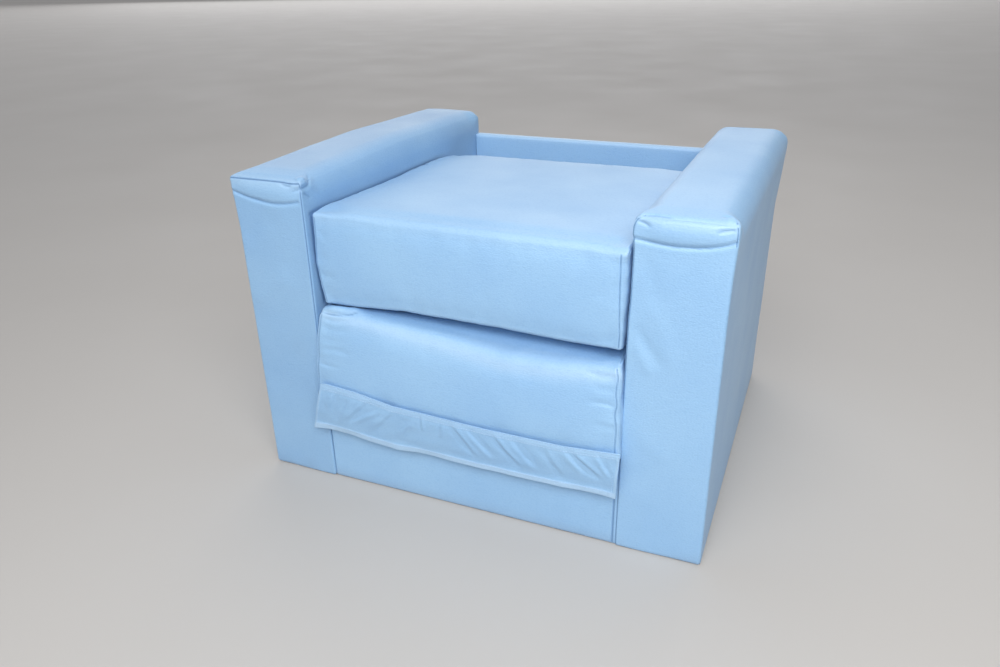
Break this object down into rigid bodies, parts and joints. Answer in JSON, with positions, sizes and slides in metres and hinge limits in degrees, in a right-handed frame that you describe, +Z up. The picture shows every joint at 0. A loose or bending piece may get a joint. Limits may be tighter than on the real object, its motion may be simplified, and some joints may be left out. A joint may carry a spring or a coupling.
{
  "type": "children's fold-out armchair",
  "caption": "Boxy upholstered child's armchair with padded arms, a low back and a padded base; two stacked seat cushions unfold forwards into a floor-level bed.",
  "frame": {"origin": "on the floor, under the middle of the chair's overall box with the cushions folded", "axes": "+Z up; the chair faces -Y, so +X is the viewer's right when looking at its front"},
  "size_m": [0.6, 0.5332, 0.413],
  "materials": {
    "faux_leather": "satin embossed PVC, light sky blue",
    "foam": "open-cell polyurethane foam",
    "plywood": "raw birch plywood",
    "dowel_wood": "raw beech",
    "hook_and_loop": "hook-and-loop tape",
    "webbing": "woven hinge webbing",
    "zip_tape": "coil zip on woven tape",
    "slider_metal": "plated zip slider",
    "zinc_steel": "zinc plated",
    "glide_plastic": "moulded polyethylene",
    "nonwoven": "spun-bonded nonwoven"
  },
  "bodies": {
    "frame": {"arm_bottom_board_l": "plywood", "arm_bottom_board_r": "plywood", "arm_top_board_l": "plywood", "arm_top_board_r": "plywood", "arm_front_board_l": "plywood", "arm_front_board_r": "plywood", "arm_rear_board_l": "plywood", "arm_rear_board_r": "plywood", "arm_inner_board_l": "plywood", "arm_inner_board_r": "plywood", "arm_outer_board_l": "plywood", "arm_outer_board_r": "plywood", "arm_pad_l": "foam", "arm_pad_r": "foam", "arm_cover_l": "faux_leather", "arm_cover_r": "faux_leather", "base_front_board": "plywood", "base_rear_board": "plywood", "deck_board": "plywood", "deck_cleat_l": "plywood", "deck_cleat_r": "plywood", "deck_pad": "foam", "base_cover": "faux_leather", "back_board": "plywood", "back_cover": "faux_leather", "back_dowel_l1": "dowel_wood", "back_dowel_l2": "dowel_wood", "back_dowel_r1": "dowel_wood", "back_dowel_r2": "dowel_wood", "back_screw_1": "zinc_steel", "back_screw_2": "zinc_steel", "back_screw_3": "zinc_steel", "cleat_screw_l1": "zinc_steel", "cleat_screw_l2": "zinc_steel", "cleat_screw_l3": "zinc_steel", "cleat_screw_r1": "zinc_steel", "cleat_screw_r2": "zinc_steel", "cleat_screw_r3": "zinc_steel", "dust_cover": "nonwoven", "glide_front_l": "glide_plastic", "glide_front_r": "glide_plastic", "glide_rear_l": "glide_plastic", "glide_rear_r": "glide_plastic", "hinge_flap": "faux_leather", "hook_tape": "hook_and_loop", "loop_tape": "hook_and_loop"},
    "lower_cushion": {"lower_foam": "foam", "lower_cover": "faux_leather", "lower_zip": "zip_tape", "rear_hinge_strip": "webbing"},
    "lower_slider": {"lower_zip_slider": "slider_metal"},
    "upper_cushion": {"upper_foam": "foam", "upper_cover": "faux_leather", "upper_zip": "zip_tape"},
    "upper_slider": {"upper_zip_slider": "slider_metal"}
  },
  "joints": [
    {"name": "lower_fold", "type": "hinge", "parent": "frame", "child": "lower_cushion", "pos_m": [0, -0.26565, 0.1268], "axis": [1, 0, 0], "range_deg": [0, 180], "deforming": ["hinge_flap"]},
    {"name": "upper_fold", "type": "hinge", "parent": "lower_cushion", "child": "upper_cushion", "pos_m": [0, 0.15715, 0.25145], "axis": [1, 0, 0], "range_deg": [-180, 0], "deforming": ["rear_hinge_strip"]},
    {"name": "lower_zip_slide", "type": "slide", "parent": "lower_cushion", "child": "lower_slider", "axis": [-1, 0, 0], "range_m": [0, 0.296]},
    {"name": "upper_zip_slide", "type": "slide", "parent": "upper_cushion", "child": "upper_slider", "axis": [-1, 0, 0], "range_m": [0, 0.296]}
  ],
  "couplings": [
    {"joint": "upper_fold", "follows": "lower_fold", "ratio": -1}
  ]
}
